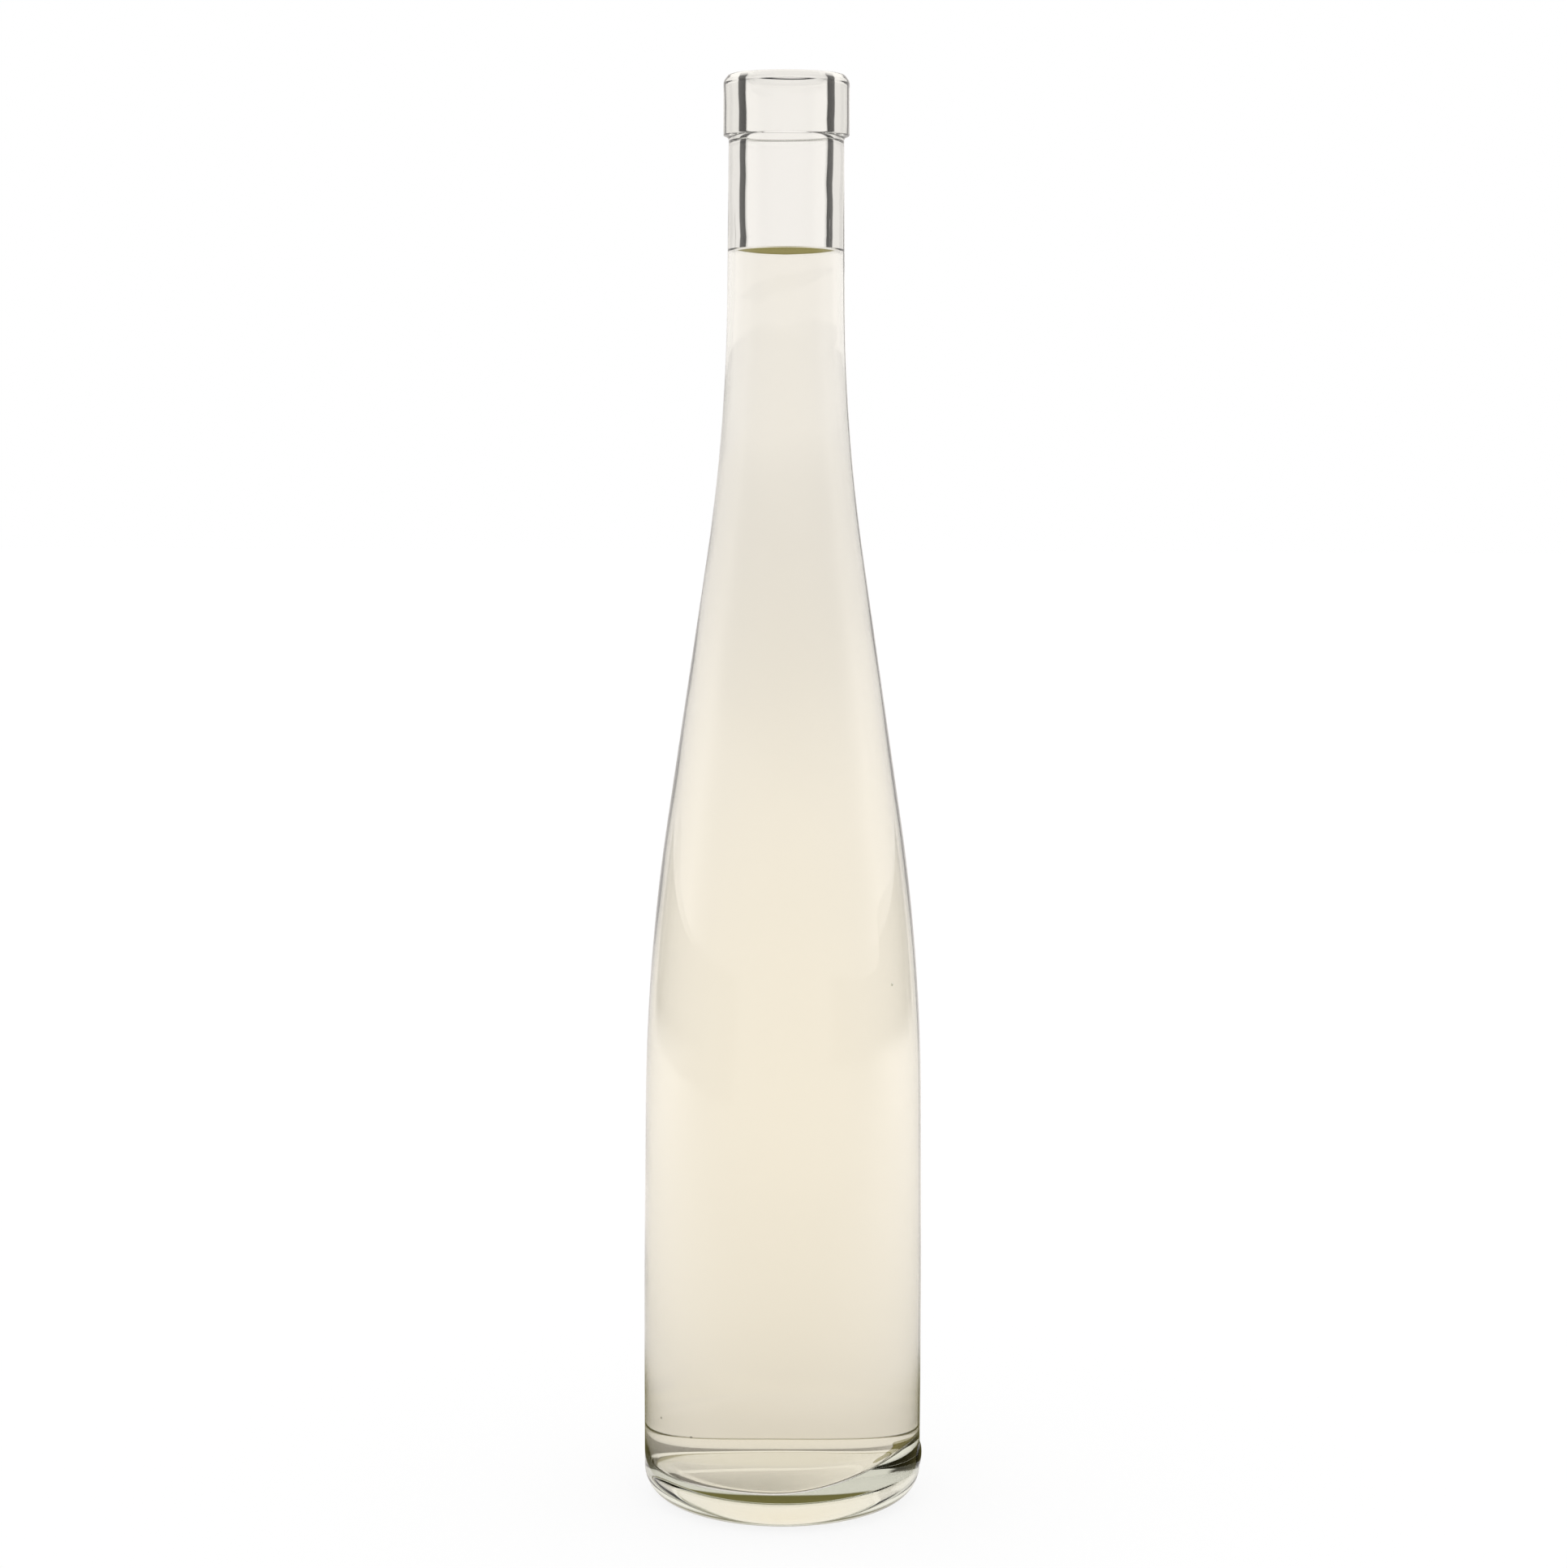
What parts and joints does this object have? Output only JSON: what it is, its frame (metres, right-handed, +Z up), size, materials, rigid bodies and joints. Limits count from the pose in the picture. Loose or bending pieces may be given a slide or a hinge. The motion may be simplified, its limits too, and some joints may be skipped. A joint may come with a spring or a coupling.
{
  "type": "wine bottle",
  "caption": "Slender clear-glass bottle with long sloping shoulders, a band ring at its open mouth and a shallow flat push-up, filled with pale wine.",
  "frame": {"origin": "centre of the standing plane, on the bottle's axis", "axes": "+Z up along the axis towards the mouth, +X towards the side with the lug on the heel, -Y towards the viewer of the picture"},
  "size_m": [0.065, 0.0646, 0.3282],
  "materials": {
    "flint_glass": "fire-polished clear glass, faintly green where it is thick",
    "pale_wine": "clear pale straw liquid"
  },
  "bodies": {
    "root": {"glass_bottle": "flint_glass", "wine": "pale_wine"}
  },
  "joints": []
}
